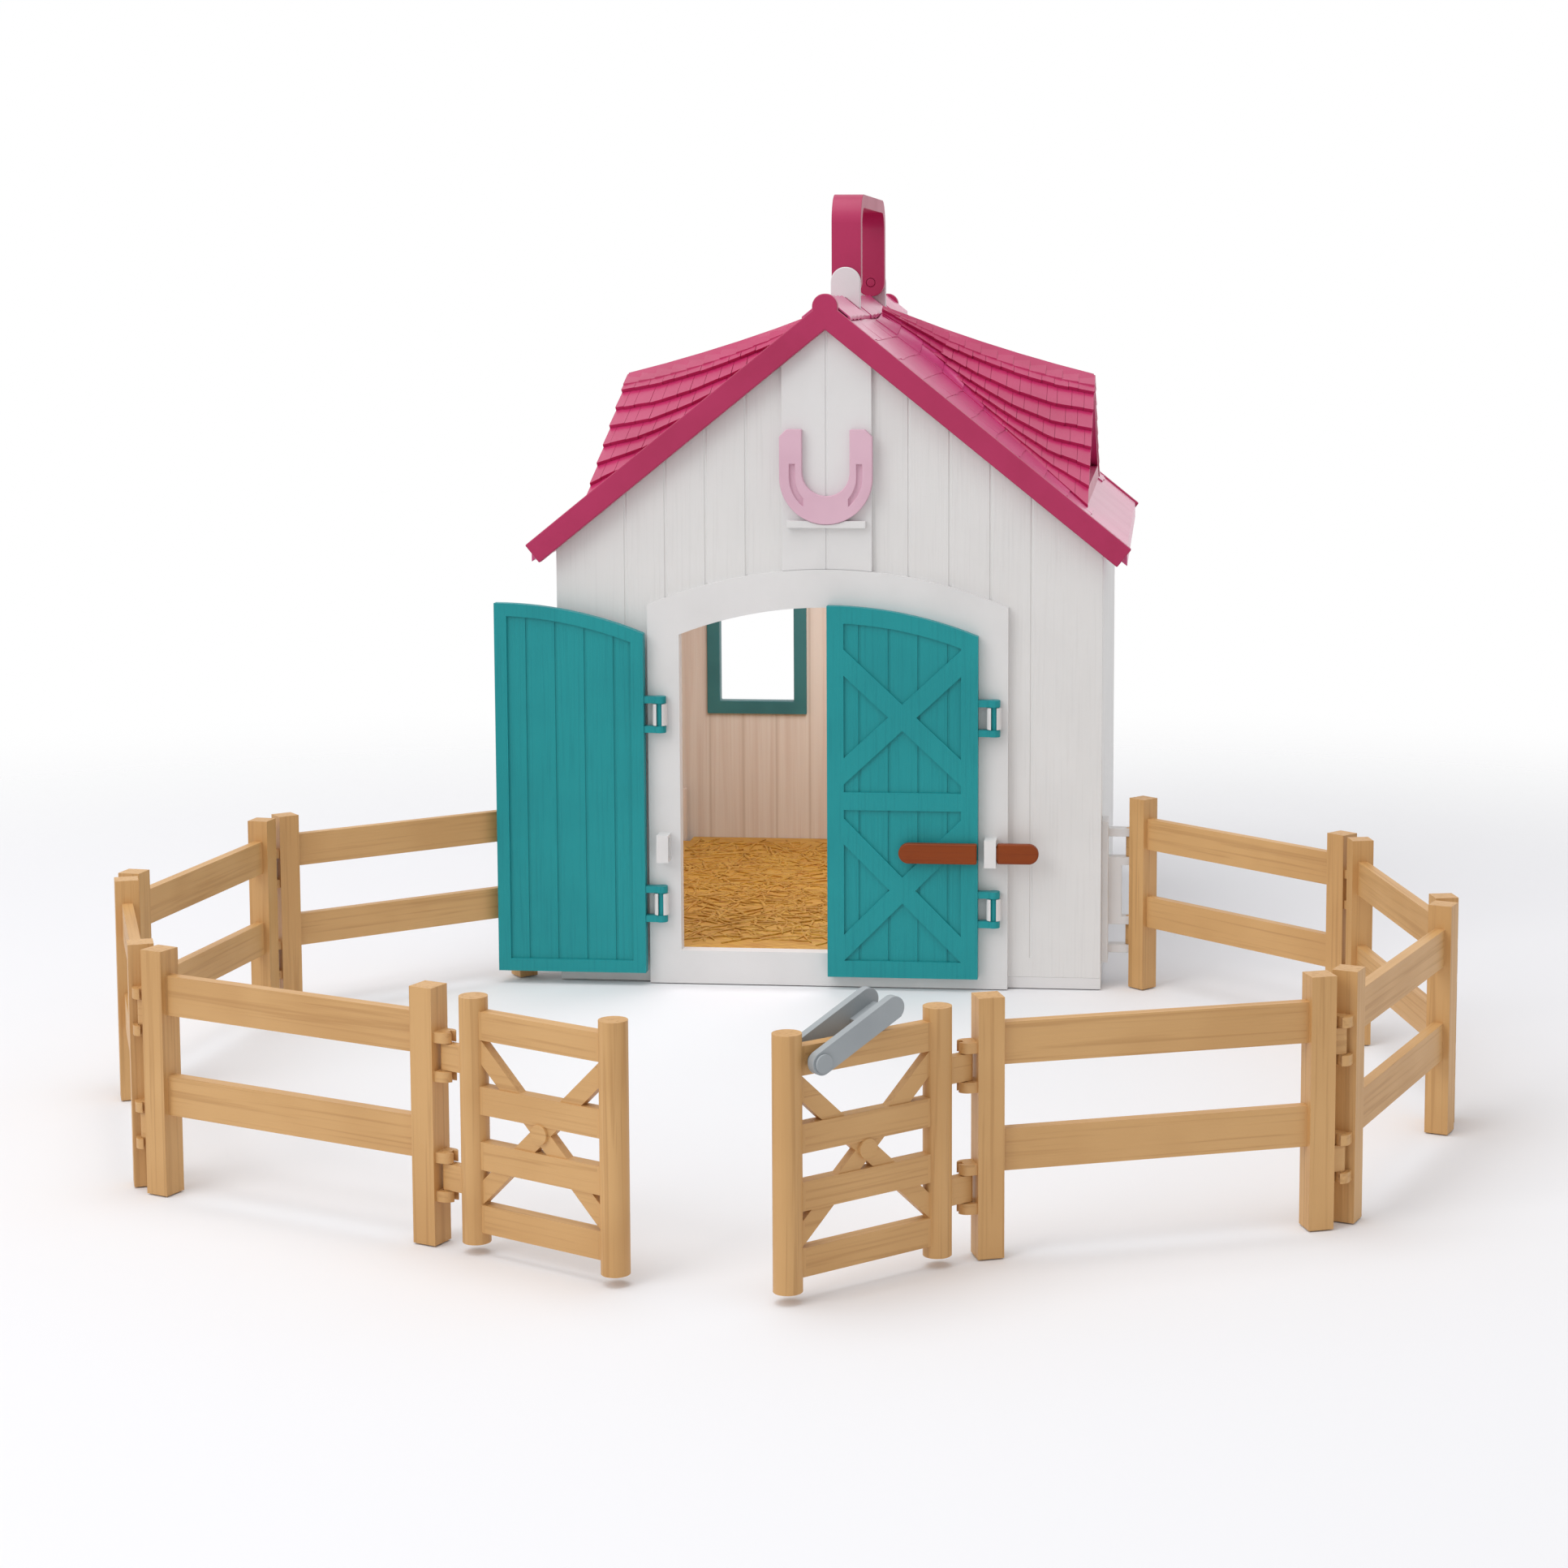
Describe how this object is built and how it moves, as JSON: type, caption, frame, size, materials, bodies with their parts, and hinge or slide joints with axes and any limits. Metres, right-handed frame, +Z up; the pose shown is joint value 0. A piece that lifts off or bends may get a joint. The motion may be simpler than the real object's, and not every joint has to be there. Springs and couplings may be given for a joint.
{
  "type": "toy horse stable",
  "caption": "Toy horse stable with a gabled roof, carrying handle, arched double doors and bolt, and a hinged clip-together fence with gates and a latch.",
  "frame": {"origin": "middle of the underside of the stable's base plate, on the ground", "axes": "+X to the right as seen from the front, -Y out of the doorway towards the fence, +Z up"},
  "size_m": [0.4104, 0.5561, 0.284],
  "materials": {
    "white_plastic": "satin moulded",
    "straw_plastic": "textured like straw",
    "roof_pink": "satin moulded shingles",
    "trim_magenta": "satin moulded",
    "door_teal": "satin moulded",
    "window_teal": "satin moulded",
    "fence_tan": "moulded wood grain",
    "latch_grey": "satin moulded",
    "shoe_pink": "satin moulded",
    "bolt_brown": "satin moulded",
    "screw_steel": "plain"
  },
  "bodies": {
    "stable": {"base_plate": "white_plastic", "base_screws": "screw_steel", "straw_floor": "straw_plastic", "front_wall": "white_plastic", "back_wall": "white_plastic", "left_wall": "white_plastic", "right_wall": "white_plastic", "door_surround": "white_plastic", "left_window_frame": "window_teal", "right_window_frame": "window_teal", "roof_left": "roof_pink", "roof_right": "roof_pink", "ridge_cap": "roof_pink", "front_rake": "trim_magenta", "rear_rake": "trim_magenta", "dormer_left": "roof_pink", "dormer_right": "roof_pink", "dormer_gable_left": "white_plastic", "dormer_gable_right": "white_plastic", "handle_lug_front": "white_plastic", "handle_lug_rear": "white_plastic", "handle_pin_front": "trim_magenta", "handle_pin_rear": "trim_magenta", "gable_panel": "white_plastic", "horseshoe": "shoe_pink", "fence_bracket_left": "white_plastic", "fence_bracket_right": "white_plastic"},
    "left_door": {"left_door": "door_teal"},
    "right_door": {"right_door": "door_teal", "bolt_socket": "bolt_brown"},
    "door_bolt": {"door_bolt": "bolt_brown"},
    "carry_handle": {"carry_handle": "trim_magenta"},
    "fence_left_1": {"fence_left_1": "fence_tan"},
    "fence_left_2": {"fence_left_2": "fence_tan"},
    "fence_left_3": {"fence_left_3": "fence_tan"},
    "fence_left_4": {"fence_left_4": "fence_tan"},
    "gate_left": {"gate_left": "fence_tan"},
    "fence_right_1": {"fence_right_1": "fence_tan"},
    "fence_right_2": {"fence_right_2": "fence_tan"},
    "fence_right_3": {"fence_right_3": "fence_tan"},
    "fence_right_4": {"fence_right_4": "fence_tan"},
    "gate_right": {"gate_right": "fence_tan"},
    "gate_latch": {"gate_latch": "latch_grey", "gate_latch_pin": "latch_grey"}
  },
  "joints": [
    {"name": "left_door_hinge", "type": "hinge", "parent": "stable", "child": "left_door", "pos_m": [-0.0596, -0.1143, 0.07], "axis": [0, 0, 1], "range_deg": [0, 180]},
    {"name": "right_door_hinge", "type": "hinge", "parent": "stable", "child": "right_door", "pos_m": [0.0596, -0.1143, 0.07], "axis": [0, 0, 1], "range_deg": [0, 105]},
    {"name": "bolt_slide", "type": "slide", "parent": "stable", "child": "door_bolt", "axis": [-1, 0, 0], "range_m": [0, 0.006]},
    {"name": "handle_hinge", "type": "hinge", "parent": "stable", "child": "carry_handle", "pos_m": [0, 0, 0.2514], "axis": [0, 1, 0], "range_deg": [-85, 85]},
    {"name": "fence_left_1_hinge", "type": "hinge", "parent": "stable", "child": "fence_left_1", "pos_m": [-0.1075, -0.099, 0.034], "axis": [0, 0, 1], "range_deg": [-60, 3]},
    {"name": "fence_left_2_hinge", "type": "hinge", "parent": "fence_left_1", "child": "fence_left_2", "pos_m": [-0.1864, -0.16521, 0.034], "axis": [0, 0, 1], "range_deg": [-60, 6]},
    {"name": "fence_left_3_hinge", "type": "hinge", "parent": "fence_left_2", "child": "fence_left_3", "pos_m": [-0.19985, -0.26733, 0.034], "axis": [0, 0, 1], "range_deg": [-60, 6]},
    {"name": "fence_left_4_hinge", "type": "hinge", "parent": "fence_left_3", "child": "fence_left_4", "pos_m": [-0.16043, -0.36249, 0.034], "axis": [0, 0, 1], "range_deg": [-60, 6]},
    {"name": "gate_left_hinge", "type": "hinge", "parent": "fence_left_4", "child": "gate_left", "pos_m": [-0.06527, -0.4019, 0.034], "axis": [0, 0, 1], "range_deg": [-58, 68]},
    {"name": "fence_right_1_hinge", "type": "hinge", "parent": "stable", "child": "fence_right_1", "pos_m": [0.1075, -0.099, 0.034], "axis": [0, 0, 1], "range_deg": [-3, 60]},
    {"name": "fence_right_2_hinge", "type": "hinge", "parent": "fence_right_1", "child": "fence_right_2", "pos_m": [0.18283, -0.16925, 0.034], "axis": [0, 0, 1], "range_deg": [-6, 60]},
    {"name": "fence_right_3_hinge", "type": "hinge", "parent": "fence_right_2", "child": "fence_right_3", "pos_m": [0.20424, -0.27, 0.034], "axis": [0, 0, 1], "range_deg": [-6, 60]},
    {"name": "fence_right_4_hinge", "type": "hinge", "parent": "fence_right_3", "child": "fence_right_4", "pos_m": [0.16733, -0.36615, 0.034], "axis": [0, 0, 1], "range_deg": [-6, 60]},
    {"name": "gate_right_hinge", "type": "hinge", "parent": "fence_right_4", "child": "gate_right", "pos_m": [0.07024, -0.40054, 0.034], "axis": [0, 0, 1], "range_deg": [-85, 40]},
    {"name": "gate_latch_hinge", "type": "hinge", "parent": "gate_right", "child": "gate_latch", "pos_m": [0.03324, -0.43327, 0.0603], "axis": [0.6626, -0.749, 0], "range_deg": [-2, 144]}
  ]
}
